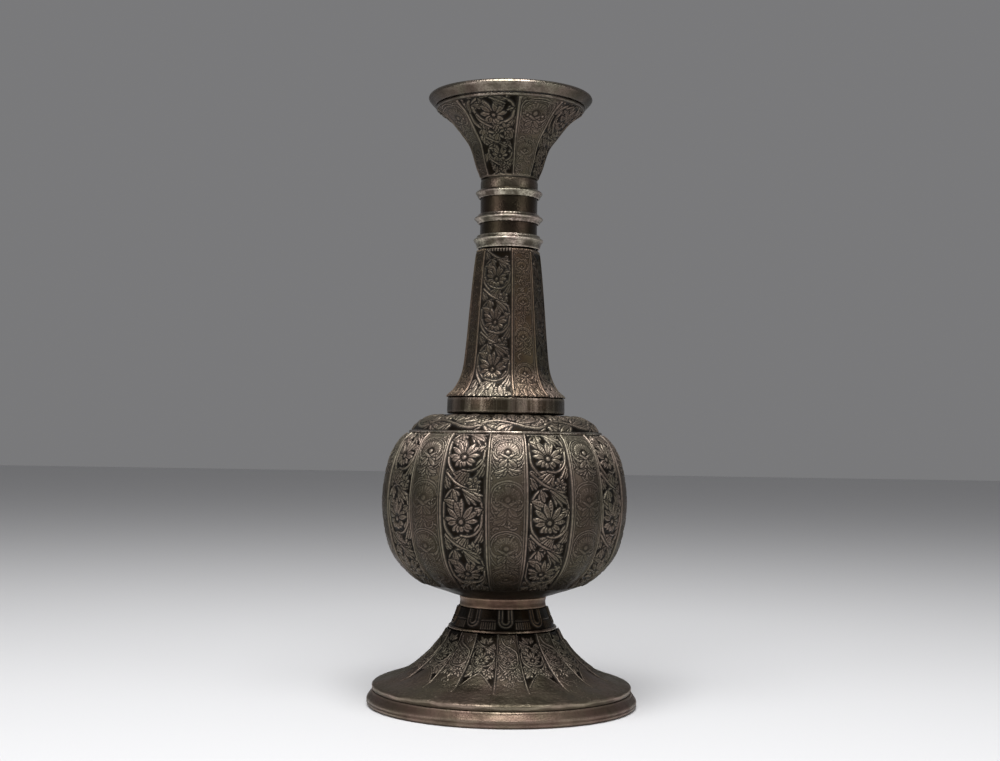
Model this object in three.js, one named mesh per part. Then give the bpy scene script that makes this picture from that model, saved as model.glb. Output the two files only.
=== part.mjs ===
// A tall vase of raised and chased sheet metal, soldered up from turned and hammered parts.
// Millimetres, +Z up. The origin is on the table, under the middle of the foot. The front faces -Y.

import * as THREE from "three";

// Driving dimensions
const WALL = 1.5;
const WIRE_SIDES = 6;
const FOOT_WIRE = 2;
const SHOULDER_WIRE = 1.8;
const MOUTH_WIRE = 1.6;
const RING_STEPS = 32;
const WIDE_RING_STEPS = 48;

// Foot: the lobes of its bell fade out between these levels below and above
const FOOT_PANELS = 18;
const FOOT_STEPS = FOOT_PANELS * 3;
const FOOT_FRONT_PANEL = 5;
const FOOT_PANEL_RISE = 0.9;
const FOOT_LOBES_START = [13, 19];
const FOOT_LOBES_END = [44, 49];

// Belly: melon lobes, a sunk panel next to a raised one all round
const BELLY_LOBES = 18;
const BELLY_FRONT_PANEL = 1;
const LOBE_RISE = 1.5;
const LOBE_CREASE = 0.9;
const DEEP_PANEL_SINK = 0.7;
const BELLY_LOBES_START = [74.5, 84];
const BELLY_LOBES_END = [165, 176.5];

// The raised panels are plates with a fillet along each side. The edges are given as shares of
// half a panel's width, from its middle: the inner foot of the fillet, its crest and its outer foot
const PLATE_RISE = 0.45;
const FILLET_RISE = 0.55;
const FILLET_EDGES = [0.78, 0.9, 0.985];
const PLATES_START = [80, 82];
const PLATES_END = [175.5, 177];

// Columns of a raised panel and of the sunk one after it, counted in panel widths
const PAIR_COLUMNS = [0, 0.05, 0.11, 0.35, 0.65, 0.89, 0.95, 1, 1.25, 1.5, 1.75];
const BELLY_PAIRS = BELLY_LOBES / 2;
const BELLY_STEPS = BELLY_PAIRS * PAIR_COLUMNS.length;

// Neck and mouth: four broad deep facets and four narrow shallow ones, with a ridge between
const FIRST_RIDGE = 5.5;
const DEEP_FACET = 50;
const SHALLOW_FACET = 40;
const FACET_STEPS = 36;
const NECK_FACETS_START = [203, 220];
const MOUTH_FACETS_END = [366, 388];

// Levels of the joints between pieces, and the clearance at each
const GAP = 0.3;
const FOOT_PLATE_TOP = 49.9;
const STEM_BOTTOM = 65;
const BELLY_BOTTOM = 72;
const BELLY_TOP = 177.3;
const SHOULDER_TOP = 190.3;
const COLLAR_TOP = 201.5;
const NECK_TOP = 298;
const SLEEVE_TOP = 344.8;
const MOUTH_TOP = 390.4;
const RIM_TOP = 400;

// Finishes
const finish = (color, roughness) =>
  new THREE.MeshStandardMaterial({ color, roughness, metalness: 0.9 });
const chased = finish(0x57514a, 0.42);
const plain = finish(0x6f6860, 0.32);
const coppery = finish(0x86644f, 0.3);

const vase = new THREE.Group();
vase.name = "vase";

// Degrees round from the front (-Y) towards +X
function bearing(x, y) {
  return THREE.MathUtils.radToDeg(Math.atan2(x, -y));
}

// A smooth outline through a few points, from the bottom up; each point is [radius, height]
function outline(points, steps) {
  const curve = new THREE.SplineCurve(points.map(([r, z]) => new THREE.Vector2(r, z)));
  return curve.getPoints(steps);
}

// The inner side of a wall whose outer side is given, from the bottom up. An end that would
// stand past the outer one is cut level with it
function innerSide(outer) {
  const bottom = outer[0].y;
  const top = outer[outer.length - 1].y;
  return outer.map((point, i) => {
    const before = outer[Math.max(i - 1, 0)];
    const after = outer[Math.min(i + 1, outer.length - 1)];
    const along = after.clone().sub(before).normalize();
    const level = point.y + along.x * WALL;
    if (level < bottom || level > top) {
      return new THREE.Vector2(point.x - WALL / along.y, point.y);
    }
    return new THREE.Vector2(point.x - along.y * WALL, level);
  });
}

// A turned piece from a section that closes on itself, or that starts and ends on the axis
function turned(section, steps, firstSeam = FIRST_RIDGE) {
  const closed = section[0].x > 0 ? [...section, section[0]] : section;
  const geometry = new THREE.LatheGeometry(closed, steps, THREE.MathUtils.degToRad(firstSeam));
  geometry.rotateX(Math.PI / 2);
  return geometry;
}

const points = (list) => list.map(([r, z]) => new THREE.Vector2(r, z));

// Every second point of a line, and its last one: the hidden side of a wall needs no more
function thinned(line) {
  return line.filter((point, i) => i % 2 === 0 || i === line.length - 1);
}

// A sheet-metal wall, open at both ends
function sheet(outer, steps, firstSeam = FIRST_RIDGE) {
  return turned([...outer, ...thinned(innerSide(outer)).reverse()], steps, firstSeam);
}

// A round wire bent into a hoop
function hoop(radius, level, thickness) {
  const section = [];
  for (let i = 0; i < WIRE_SIDES; i++) {
    const turn = (i * 2 * Math.PI) / WIRE_SIDES;
    section.push(
      new THREE.Vector2(
        radius + (Math.cos(turn) * thickness) / 2,
        level + (Math.sin(turn) * thickness) / 2,
      ),
    );
  }
  return turned(section, RING_STEPS);
}

// Moves the wall of a turned piece in or out, by an amount that depends on bearing and height
function pressed(geometry, amount) {
  const place = geometry.attributes.position;
  for (let i = 0; i < place.count; i++) {
    const x = place.getX(i);
    const y = place.getY(i);
    const radius = Math.hypot(x, y);
    if (radius > 1e-6) {
      const scale = 1 + amount(bearing(x, y), place.getZ(i), radius) / radius;
      place.setXY(i, x * scale, y * scale);
    }
  }
  return geometry;
}

// How far a flat facet lies inside the circle through its ridges, as a share of the radius
function facetSink(degrees) {
  const period = DEEP_FACET + SHALLOW_FACET;
  const turn = THREE.MathUtils.euclideanModulo(degrees - FIRST_RIDGE, period);
  const width = turn < SHALLOW_FACET ? SHALLOW_FACET : DEEP_FACET;
  const offset = turn < SHALLOW_FACET ? turn - width / 2 : turn - SHALLOW_FACET - width / 2;
  const half = THREE.MathUtils.degToRad(width / 2);
  return 1 - Math.cos(half) / Math.cos(THREE.MathUtils.degToRad(offset));
}

// A smooth step from 0 to 1 between two levels
function risen(z, [low, high]) {
  return THREE.MathUtils.smoothstep(z, low, high);
}

// Lobes of a melon: 0 in the creases, 1 along the middle of each panel
function lobe(degrees, count, middle) {
  return Math.abs(Math.cos(THREE.MathUtils.degToRad(((degrees - middle) * count) / 2)));
}

// Where a bearing lies on the belly: the number of its panel, and how far it is from that panel's
// middle, as a share of half its width
function bellyPlace(degrees) {
  const turn = ((degrees - BELLY_FRONT_PANEL) * BELLY_LOBES) / 360;
  const panel = Math.round(turn);
  return { deep: Math.abs(panel) % 2 === 1, aside: Math.abs(turn - panel) * 2 };
}

// Height of a raised panel's plate and of the fillet along its side
function plateRise(aside) {
  const [inner, crest, outer] = FILLET_EDGES;
  if (aside >= outer) {
    return 0;
  }
  if (aside > inner && aside < crest + (outer - crest) / 2) {
    return PLATE_RISE + FILLET_RISE;
  }
  return PLATE_RISE;
}

// Turns each column of evenly spaced ones to its place in its pair of panels
function regrouped(geometry, firstSeam) {
  const place = geometry.attributes.position;
  for (let i = 0; i < place.count; i++) {
    const radius = Math.hypot(place.getX(i), place.getY(i));
    const turn = THREE.MathUtils.euclideanModulo(
      bearing(place.getX(i), place.getY(i)) - firstSeam,
      360,
    );
    const column = Math.round((turn * BELLY_STEPS) / 360) % BELLY_STEPS;
    const pair = Math.floor(column / PAIR_COLUMNS.length);
    const panels = pair * 2 + PAIR_COLUMNS[column % PAIR_COLUMNS.length];
    const angle = THREE.MathUtils.degToRad(firstSeam + (panels * 360) / BELLY_LOBES);
    place.setXY(i, radius * Math.sin(angle), -radius * Math.cos(angle));
  }
  return geometry;
}

function add(name, geometry, material) {
  const mesh = new THREE.Mesh(geometry, material);
  mesh.name = name;
  vase.add(mesh);
}

// Foot: a turned base ring with a slanting flange and a flat lip to stand on
add(
  "foot_rim",
  turned(
    points([
      [83, 0], [87.2, 0], [88.8, 2.2], [88.7, 4.6], [87.2, 7.2], [84.8, 9.2], [81.6, 9.9],
      [80.4, 9.3], [83.4, 7.7], [86.2, 4.6], [86.2, 1.5], [83, 1.5],
    ]),
    WIDE_RING_STEPS,
  ),
  coppery,
);

// The panelled bell of the foot, rolled under at its edge
const footPlateOuter = outline(
  [
    [83, 10.5], [84.7, 12.5], [83.4, 14.6], [72.6, 18.1], [63.2, 22.2], [51.3, 31.2],
    [42.8, 40.6], [36.4, FOOT_PLATE_TOP],
  ],
  9,
);
add(
  "foot_plate",
  pressed(sheet(footPlateOuter, FOOT_STEPS, FOOT_FRONT_PANEL + 180 / FOOT_PANELS), (degrees, z) => {
    const fade = risen(z, FOOT_LOBES_START) * (1 - risen(z, FOOT_LOBES_END));
    return fade * FOOT_PANEL_RISE * (lobe(degrees, FOOT_PANELS, FOOT_FRONT_PANEL) - 1);
  }),
  chased,
);

add("foot_wire", hoop(34.5, FOOT_PLATE_TOP + GAP + FOOT_WIRE / 2, FOOT_WIRE), plain);

add(
  "foot_collar",
  sheet(outline([[34.4, 52.5], [31.7, 58.8], [29.6, STEM_BOTTOM - GAP]], 4), RING_STEPS),
  chased,
);

add(
  "stem_ring",
  turned(
    points([
      [25, STEM_BOTTOM], [28.6, STEM_BOTTOM], [28, 68.2], [28.7, BELLY_BOTTOM - GAP],
      [25, BELLY_BOTTOM - GAP],
    ]),
    RING_STEPS,
  ),
  coppery,
);

// Belly: a raised bowl with a flat bottom and eighteen lobes
const bellyOuter = [
  new THREE.Vector2(0, BELLY_BOTTOM),
  ...outline(
    [
      [29, BELLY_BOTTOM], [38.4, 74.8], [53.2, 80.2], [65.5, 90], [73.4, 101], [78, 117],
      [79.5, 134], [77.9, 150], [74.1, 163.6], [69.2, 172.4], [63.6, BELLY_TOP],
    ],
    12,
  ),
];
const bellyInner = thinned(innerSide(bellyOuter));
bellyInner[0].set(0, BELLY_BOTTOM + WALL);
const bellySeam = BELLY_FRONT_PANEL - 180 / BELLY_LOBES;
add(
  "belly",
  pressed(
    regrouped(turned([...bellyOuter, ...bellyInner.reverse()], BELLY_STEPS, bellySeam), bellySeam),
    (degrees, z) => {
      const { deep, aside } = bellyPlace(degrees);
      const across = lobe(degrees, BELLY_LOBES, BELLY_FRONT_PANEL);
      const lobes = LOBE_RISE * across - LOBE_CREASE - (deep ? DEEP_PANEL_SINK * across : 0);
      const lobeFade = risen(z, BELLY_LOBES_START) * (1 - risen(z, BELLY_LOBES_END));
      const plateFade = risen(z, PLATES_START) * (1 - risen(z, PLATES_END));
      return lobeFade * lobes + (deep ? 0 : plateFade * plateRise(aside));
    },
  ),
  chased,
);

add("shoulder_wire", hoop(62.3, BELLY_TOP + GAP + SHOULDER_WIRE / 2, SHOULDER_WIRE), plain);

add(
  "shoulder_plate",
  sheet(
    outline([[61.4, 179.7], [58.8, 183.3], [53.4, 187.2], [46.8, 189.4], [37.6, SHOULDER_TOP]], 5),
    WIDE_RING_STEPS,
  ),
  chased,
);

add(
  "neck_collar",
  turned(
    points([
      [36.2, SHOULDER_TOP + GAP], [38.9, SHOULDER_TOP + GAP], [39.4, 191.6], [39.3, 200.8],
      [38.8, COLLAR_TOP], [36.2, COLLAR_TOP],
    ]),
    RING_STEPS,
  ),
  plain,
);

// Neck: a tapered tube of eight facets that opens out round at its foot
const neckOuter = outline(
  [
    [38.4, COLLAR_TOP + GAP], [34.4, 206.4], [30.7, 213], [28.2, 222], [26.4, 238], [24.7, 258],
    [22.9, 279], [21, NECK_TOP],
  ],
  11,
);
add(
  "neck_tube",
  pressed(sheet(neckOuter, FACET_STEPS), (degrees, z, radius) => {
    return -radius * facetSink(degrees) * risen(z, NECK_FACETS_START);
  }),
  chased,
);

add(
  "neck_sleeve",
  turned(
    points([
      [17.4, NECK_TOP + GAP], [18.9, NECK_TOP + GAP], [18.7, 322], [18.9, SLEEVE_TOP],
      [17.4, SLEEVE_TOP],
    ]),
    RING_STEPS,
  ),
  plain,
);

// Three turned rings soldered round the sleeve
const ringSections = {
  neck_ring_lower: [
    [19.3, 299.2], [20.7, 299.2], [21.4, 301.8], [22.7, 303.4], [23.1, 304.8], [22.5, 306.3],
    [20.3, 307.8], [19.3, 307.8],
  ],
  neck_ring_middle: [
    [19.3, 315.6], [20.4, 315.8], [22.2, 317.5], [22.7, 318.9], [22.1, 320.6], [20.1, 322.3],
    [19.3, 322.3],
  ],
  neck_ring_upper: [
    [19.3, 332.2], [20.4, 332.6], [21.7, 334.4], [22.1, 335.8], [21.5, 337.4], [20, 339],
    [19.3, 339],
  ],
};
for (const [name, section] of Object.entries(ringSections)) {
  add(name, turned(points(section), RING_STEPS), plain);
}

// Mouth: an eight-sided trumpet that turns round as it opens
const mouthOuter = outline(
  [
    [20.2, SLEEVE_TOP + GAP], [21.8, 352.6], [25.8, 365.5], [31.5, 373.8], [39.5, 384.1],
    [48.1, MOUTH_TOP],
  ],
  10,
);
add(
  "mouth_trumpet",
  pressed(sheet(mouthOuter, FACET_STEPS), (degrees, z, radius) => {
    return -radius * facetSink(degrees) * (1 - risen(z, MOUTH_FACETS_END));
  }),
  chased,
);

add("mouth_wire", hoop(48, MOUTH_TOP + GAP + MOUTH_WIRE / 2, MOUTH_WIRE), plain);

add(
  "rim_band",
  turned(
    points([
      [47.6, 392.6], [49.8, 392.6], [52, 394.9], [53.6, 396.8], [54, 397.8], [53.4, 399.1],
      [52.2, RIM_TOP], [50.8, RIM_TOP], [49.9, 396.2],
    ]),
    WIDE_RING_STEPS,
  ),
  plain,
);

export default vase;
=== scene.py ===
"""A tall footed vase of silvered copper: lobed belly, faceted neck and trumpet mouth, chased all over."""

import logging
import math
from dataclasses import dataclass
from enum import Enum
from typing import Callable, Sequence

import bmesh
import bpy
import numpy as np
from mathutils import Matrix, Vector


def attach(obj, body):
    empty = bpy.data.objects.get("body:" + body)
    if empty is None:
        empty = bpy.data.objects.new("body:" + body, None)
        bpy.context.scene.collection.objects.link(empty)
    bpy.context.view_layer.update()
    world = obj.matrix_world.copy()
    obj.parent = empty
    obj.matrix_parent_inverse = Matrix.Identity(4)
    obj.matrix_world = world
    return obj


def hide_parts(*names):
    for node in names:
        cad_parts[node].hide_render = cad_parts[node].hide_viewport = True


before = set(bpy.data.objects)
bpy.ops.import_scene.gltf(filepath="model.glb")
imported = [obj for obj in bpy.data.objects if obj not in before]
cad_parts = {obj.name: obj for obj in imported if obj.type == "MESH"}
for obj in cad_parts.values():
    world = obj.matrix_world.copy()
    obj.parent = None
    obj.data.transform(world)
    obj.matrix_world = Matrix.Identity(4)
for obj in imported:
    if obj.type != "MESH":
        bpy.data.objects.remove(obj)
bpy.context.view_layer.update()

MM = 0.001
BODY = "root"
Array = np.ndarray
Point = tuple[float, float]
Triple = tuple[float, float, float]

log = logging.getLogger("vase")

# Neck and mouth facets: bearings in degrees round from the front (-Y) towards +X
FIRST_RIDGE = 5.5
DEEP_FACET = 50.0
SHALLOW_FACET = 40.0

# Belly and foot panels, and the bearings of the middles of the front ones
PANELS = 18
PANEL_ANGLE = 360.0 / PANELS
BELLY_FRONT_PANEL = 1.0
FOOT_FRONT_PANEL = 5.0

# Angle of one repeat of the foot collar's tongues and of the shoulder's scroll
REPEAT_ANGLE = 40.0

# In half panel widths: the chased line round a figure, and the pitch at which a vine's cell is drawn
OUTLINE = 0.028
CELL = 2.83

# Steps of a curve between two of its points, and the least upright share of a wall's direction
CURVE_STEPS = 24
LEAST_UPRIGHT = 0.3

# Distance in metres at which vertices merge, and the angle past which an edge looks sharp
MERGE_DISTANCE = 1e-7
SHARP_ANGLE = math.radians(70)


class Carving(Enum):
    """How a panel is worked."""

    DEEP = "deep"
    SHALLOW = "shallow"
    BAND = "band"


def smoothstep(value: Array, low: float, high: float) -> Array:
    """A smooth ramp from 0 at low to 1 at high."""
    t = np.clip((value - low) / (high - low), 0.0, 1.0)
    return t * t * (3 - 2 * t)


def respaced(line: Array, count: int) -> Array:
    """The same line with its points evenly spaced along it.

    Args:
        line: Points of the line, one in each row.
        count: How many points come back.

    Returns:
        The new points.
    """
    run = np.concatenate([[0], np.cumsum(np.hypot(*np.diff(line, axis=0).T))])
    at = np.linspace(0, run[-1], count)
    return np.column_stack([np.interp(at, run, line[:, 0]), np.interp(at, run, line[:, 1])])


def smooth_line(points: Sequence[Point], count: int) -> Array:
    """Evenly spaced points on the smooth curve through a few points.

    Args:
        points: The points that the curve goes through.
        count: How many points come back.

    Returns:
        The points of the curve.
    """
    knots = np.asarray(points, float)
    padded = np.vstack([knots[:1], knots, knots[-1:]])
    t = np.linspace(0, 1, CURVE_STEPS, endpoint=False)[:, None]
    spans = []
    for a, b, c, d in zip(padded, padded[1:], padded[2:], padded[3:]):
        leaving, arriving = (c - a) / 2, (d - b) / 2
        cubic = 2 * b - 2 * c + leaving + arriving
        square = -3 * b + 3 * c - 2 * leaving - arriving
        spans.append(cubic * t**3 + square * t**2 + leaving * t + b)
    return respaced(np.vstack([*spans, knots[-1:]]), count)


def inner_side(outer: Array, wall: float, count: int) -> Array:
    """The inner side of a wall, with its ends cut level with the outer side's.

    Args:
        outer: The outer side, from the bottom up.
        wall: Thickness in millimetres.
        count: How many points come back.

    Returns:
        The inner side, from the bottom up.
    """
    along = np.gradient(outer, axis=0)
    along /= np.hypot(*along.T)[:, None]
    inner = outer + wall * np.column_stack([-along[:, 1], along[:, 0]])
    low, high = outer[0, 1], outer[-1, 1]
    past = (inner[:, 1] < low) | (inner[:, 1] > high)
    inner[past, 0] = outer[past, 0] - wall / np.maximum(along[past, 1], LEAST_UPRIGHT)
    inner[past, 1] = np.clip(outer[past, 1], low, high)
    return respaced(inner, count)


def spun_mesh(name: str, section: Array, sweep: float, steps: int) -> bpy.types.Mesh:
    """Spins a closed section round the vase's axis, from the front on.

    Args:
        name: Name of the mesh.
        section: Radius and height of each corner, in millimetres.
        sweep: Angle of the spin in degrees; 360 closes it on itself.
        steps: Number of steps in the spin.

    Returns:
        A closed mesh whose vertices carry their place in the section as "station".
    """
    bm = bmesh.new()
    station = bm.verts.layers.int.new("station")
    corners = []
    for i, (r, z) in enumerate(section * MM):
        corner = bm.verts.new((0.0, -r, z))
        corner[station] = i
        corners.append(corner)
    whole = sweep >= 360
    if whole:
        edges = [bm.edges.new((a, b)) for a, b in zip(corners, corners[1:] + corners[:1])]
        geometry = [*corners, *edges]
    else:
        face = bm.faces.new(corners)
        geometry = [*corners, *face.edges, face]
    bmesh.ops.spin(
        bm,
        geom=geometry,
        cent=(0, 0, 0),
        axis=(0, 0, 1),
        dvec=(0, 0, 0),
        angle=math.radians(sweep),
        steps=steps,
        use_merge=whole,
        use_normal_flip=False,
        use_duplicate=False,
    )
    bmesh.ops.remove_doubles(bm, verts=bm.verts, dist=MERGE_DISTANCE)
    bmesh.ops.recalc_face_normals(bm, faces=bm.faces)
    mesh = bpy.data.meshes.new(name)
    bm.to_mesh(mesh)
    bm.free()
    return mesh


def coordinates(mesh: bpy.types.Mesh) -> Array:
    """The places of a mesh's vertices.

    Args:
        mesh: The mesh.

    Returns:
        One place in each row, in metres.
    """
    flat = np.empty(len(mesh.vertices) * 3, np.float64)
    mesh.vertices.foreach_get("co", flat)
    return flat.reshape(-1, 3)


def stations(mesh: bpy.types.Mesh) -> Array:
    """Each vertex's place in the section that its mesh was spun from.

    Args:
        mesh: The spun mesh, or a copy of it.

    Returns:
        The number of the section's corner, for each vertex.
    """
    flat = np.empty(len(mesh.vertices), np.int32)
    mesh.attributes["station"].data.foreach_get("value", flat)
    return flat


def place(mesh: bpy.types.Mesh, points: Array) -> None:
    """Moves a mesh's vertices to new places, in metres."""
    mesh.vertices.foreach_set("co", points.astype(np.float32).ravel())
    mesh.update()


def paint(mesh: bpy.types.Mesh, name: str, values: Array) -> None:
    """Stores one number for each vertex under a name that the materials read."""
    layer = mesh.attributes.new(name, "FLOAT", "POINT")
    layer.data.foreach_set("value", values.astype(np.float32))


def add_piece(
    name: str, mesh: bpy.types.Mesh, material: bpy.types.Material, node: str
) -> None:
    """Puts a finished mesh into the scene in place of its CAD node.

    Args:
        name: Name of the piece.
        mesh: Its mesh, in place.
        material: Its finish.
        node: The CAD node that it stands for.
    """
    mesh.polygons.foreach_set("use_smooth", np.ones(len(mesh.polygons), bool))
    mesh.set_sharp_from_angle(angle=SHARP_ANGLE)
    mesh.materials.append(material)
    piece = bpy.data.objects.new(name, mesh)
    bpy.context.scene.collection.objects.link(piece)
    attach(piece, BODY)
    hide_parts(node)
    log.info("%s: %d faces", name, len(mesh.polygons))


def arc(cx: float, cy: float, radius: float, start: float, end: float, count: int = 14) -> Array:
    """Points on an arc; angles in degrees, counted from the right towards the top."""
    turn = np.radians(np.linspace(start, end, count))
    return np.column_stack([cx + radius * np.cos(turn), cy + radius * np.sin(turn)])


def polar(length: float, heading: float) -> Array:
    """A step of some length; its heading in degrees is counted like an arc's angles."""
    turn = math.radians(heading)
    return length * np.array([math.cos(turn), math.sin(turn)])


class Relief:
    """Worked metal on one panel, drawn in units of half the panel's width.

    Across runs from -1 to 1; along is 0 at the panel's top end and falls below it. Deep carving
    stands on a sunk black ground. Shallow carving is a plate whose figures have chased outlines.
    A band is deep carving that goes on without an edge from one repeat to the next. Press is how dark
    the chased lines are. Warm and rub are what the panel adds to its colour's warmth and to its wear.
    """

    # Room kept round a figure, its least half width, and how its height falls where it narrows
    MARGIN = 0.1
    LEAST_WIDTH = 0.004
    TAPER = 0.4

    # Shares of older work that a chased line and a groove cut away
    LINE_CUT = 0.75
    GROOVE_CUT = 0.85

    # Cleanness of a shallow plate and of unworked metal, and how deep a chased line is cut, in millimetres
    PLATE_CLEAN = 0.72
    PLAIN_CLEAN = 0.85
    LINE_DEPTH = 0.16

    def __init__(self, across: Array, along: Array, carving: Carving, plate: float) -> None:
        """Starts with a bare panel.

        Args:
            across: Place of each column.
            along: Place of each row.
            carving: How the panel is worked.
            plate: Height of a shallow panel's plate, or depth of a deep panel's ground, in millimetres.
        """
        self.across = across
        self.along = along
        self.carving = carving
        self.base = plate if carving is Carving.SHALLOW else -plate
        self.press = 1.0
        self.warm: Array | float = 0.0
        self.rub: Array | float = 0.0
        self.height = np.full((len(across), len(along)), self.base)
        self.ink = np.zeros_like(self.height)

    def window(self, low: Array | Point, high: Array | Point) -> tuple[slice, slice]:
        """The columns and rows that lie between two corners.

        Args:
            low: Across and along of the lower left corner.
            high: Across and along of the upper right corner.

        Returns:
            Slices of the panel's fields.
        """
        i0, i1 = np.searchsorted(self.across, [low[0], high[0]])
        j0, j1 = np.searchsorted(self.along, [low[1], high[1]])
        return slice(i0, i1), slice(j0, j1)

    def ridge(
        self, path: Array, widths: float | Sequence[float], rise: float, vein: float = 0.0,
        core: float = 0.26,
    ) -> None:
        """Raises a ridge along a path, cut clear of what lies under it.

        Args:
            path: Points of the path.
            widths: Half the ridge's width, the same all along or spread over the path.
            rise: Height at the widest place, in millimetres.
            vein: Depth of the hollow down the middle, as a share of the rise; 0 leaves it round.
            core: Half the hollow's width, as a share of the ridge's.
        """
        path = np.asarray(path, float)
        spread = np.atleast_1d(np.asarray(widths, float))
        width = np.interp(np.linspace(0, 1, len(path)), np.linspace(0, 1, len(spread)), spread)
        if self.carving is Carving.BAND:
            for repeat in (-2.0, 0.0, 2.0):
                self.stroke(path + (repeat, 0.0), width, rise, vein, core)
        else:
            self.stroke(path, width, rise, vein, core)

    def stroke(self, path: Array, width: Array, rise: float, vein: float, core: float) -> None:
        """Raises one ridge inside the panel.

        Args:
            path: Points of the path.
            width: Half the ridge's width at each point.
            rise: Height at the widest place, in millimetres.
            vein: Depth of the hollow down the middle, as a share of the rise.
            core: Half the hollow's width, as a share of the ridge's.
        """
        widest = width.max()
        reach = widest + self.MARGIN
        rows = self.window(path.min(0) - reach, path.max(0) + reach)
        x, y = self.across[rows[0], None], self.along[None, rows[1]]
        if not x.size or not y.size:
            return
        best = np.zeros((x.size, y.size))
        outside = np.full_like(best, np.inf)
        for a, b, wa, wb in zip(path, path[1:], width, width[1:]):
            step = b - a
            length = max(step @ step, 1e-9)
            t = np.clip(((x - a[0]) * step[0] + (y - a[1]) * step[1]) / length, 0, 1)
            w = np.maximum(wa + (wb - wa) * t, self.LEAST_WIDTH)
            off = np.hypot(x - a[0] - t * step[0], y - a[1] - t * step[1])
            outside = np.minimum(outside, off - w)
            off = np.minimum(off / w, 1)
            if vein:
                top = np.sqrt(1 - off**4) * (1 - vein * np.exp(-((off / core) ** 2)))
            else:
                top = np.sqrt(1 - off**2)
            best = np.maximum(best, top * (w / widest) ** self.TAPER)
        line = np.where(outside > 0, np.exp(-(((outside - OUTLINE / 2) / OUTLINE) ** 2)), 0)
        part = self.height[rows]
        part -= (part - self.base) * self.LINE_CUT * line
        np.maximum(part, self.base + best * rise, out=part)
        ink = self.ink[rows]
        ink *= 1 - best
        np.maximum(ink, line * self.press, out=ink)

    def boss(self, cx: float, cy: float, radius: float, rise: float) -> None:
        """Raises a round boss."""
        self.ridge([(cx, cy), (cx + self.LEAST_WIDTH, cy)], radius, rise)

    def groove(self, cx: float, cy: float, radius: float, width: float) -> None:
        """Sinks a narrow ring, such as the dark eye round a flower's boss.

        Args:
            cx: Middle, across.
            cy: Middle, along.
            radius: The ring's radius; 0 makes a pit.
            width: Half the ring's width.
        """
        reach = radius + 3 * width
        rows = self.window((cx - reach, cy - reach), (cx + reach, cy + reach))
        off = np.hypot(self.across[rows[0], None] - cx, self.along[None, rows[1]] - cy)
        mark = np.exp(-(((off - radius) / width) ** 2))
        self.height[rows] -= (self.height[rows] - self.base) * self.GROOVE_CUT * mark
        np.maximum(self.ink[rows], mark * self.press, out=self.ink[rows])

    def pits(self, count: int, rng: np.random.Generator) -> None:
        """Punches small pits all over the panel.

        Args:
            count: Number of pits.
            rng: Source of their places and sizes.
        """
        for _ in range(count):
            cx = float(rng.uniform(-0.78, 0.78))
            cy = float(rng.uniform(self.along[0], 0))
            self.groove(cx, cy, 0.0, float(rng.uniform(0.022, 0.04)))

    def leaf(self, path: Sequence[Point], width: float, rise: float) -> None:
        """Raises a rimmed leaf along a few points, from its stalk to its tip."""
        shape = [share * width for share in (0.35, 0.9, 1, 0.8, 0.12)]
        self.ridge(smooth_line(path, 8), shape, rise, 0.6, 0.42)

    def score(self, path: Array) -> None:
        """Chases a thin faint line and raises nothing.

        Args:
            path: Points of the line.
        """
        press = self.press
        self.press = min(0.4 * press, 0.17)
        self.ridge(path, self.LEAST_WIDTH, 0.0)
        self.press = press

    def curls(self, count: int, rng: np.random.Generator) -> None:
        """Raises small low curls all over the panel, the remains of worn scrollwork.

        Args:
            count: Number of curls.
            rng: Source of their places, turns and sizes.
        """
        for _ in range(count):
            cx = float(rng.uniform(-0.72, 0.72))
            cy = float(rng.uniform(self.along[0] + 0.2, -0.2))
            start = float(rng.uniform(0, 360))
            sweep = float(rng.uniform(90, 250))
            path = arc(cx, cy, float(rng.uniform(0.08, 0.26)), start, start + sweep, 10)
            self.ridge(path, float(rng.uniform(0.028, 0.05)), float(rng.uniform(0.1, 0.34)))

    def aster(
        self, cx: float, cy: float, radius: float, petals: int, rise: float, turn: float,
        droop: float = 1.0,
    ) -> None:
        """Raises a flower: narrow pointed petals with hollow tips round a boss in a dark eye.

        Args:
            cx: Middle, across.
            cy: Middle, along.
            radius: Reach of the upper petals.
            petals: Number of petals.
            rise: Height in millimetres.
            turn: Angle of the first petal in degrees.
            droop: Reach of the lower petals as a share of the upper ones'.
        """
        for k in range(petals):
            sway = math.sin(2.4 * k + turn)
            angle = math.radians(turn + 360 * k / petals + 5 * sway)
            upper = 0.5 + 0.5 * math.sin(angle)
            reach = radius * (droop + (1 - droop) * upper**0.8) * (1 + 0.07 * sway)
            width = radius * math.sin(math.pi / petals) * (0.44 + 0.1 * upper)
            steps = np.linspace(0.2 * radius, reach, 8)
            path = np.column_stack([cx + steps * math.cos(angle), cy + steps * math.sin(angle)])
            shape = [share * width for share in (0.4, 0.65, 0.95, 1, 0.65, 0.05)]
            self.ridge(path, shape, rise * (1 + 0.12 * sway), 0.8, 0.4)
        self.groove(cx, cy, 0.2 * radius, 0.07 * radius)
        self.boss(cx, cy - 0.02 * radius, 0.115 * radius, rise * 0.6)

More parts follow.
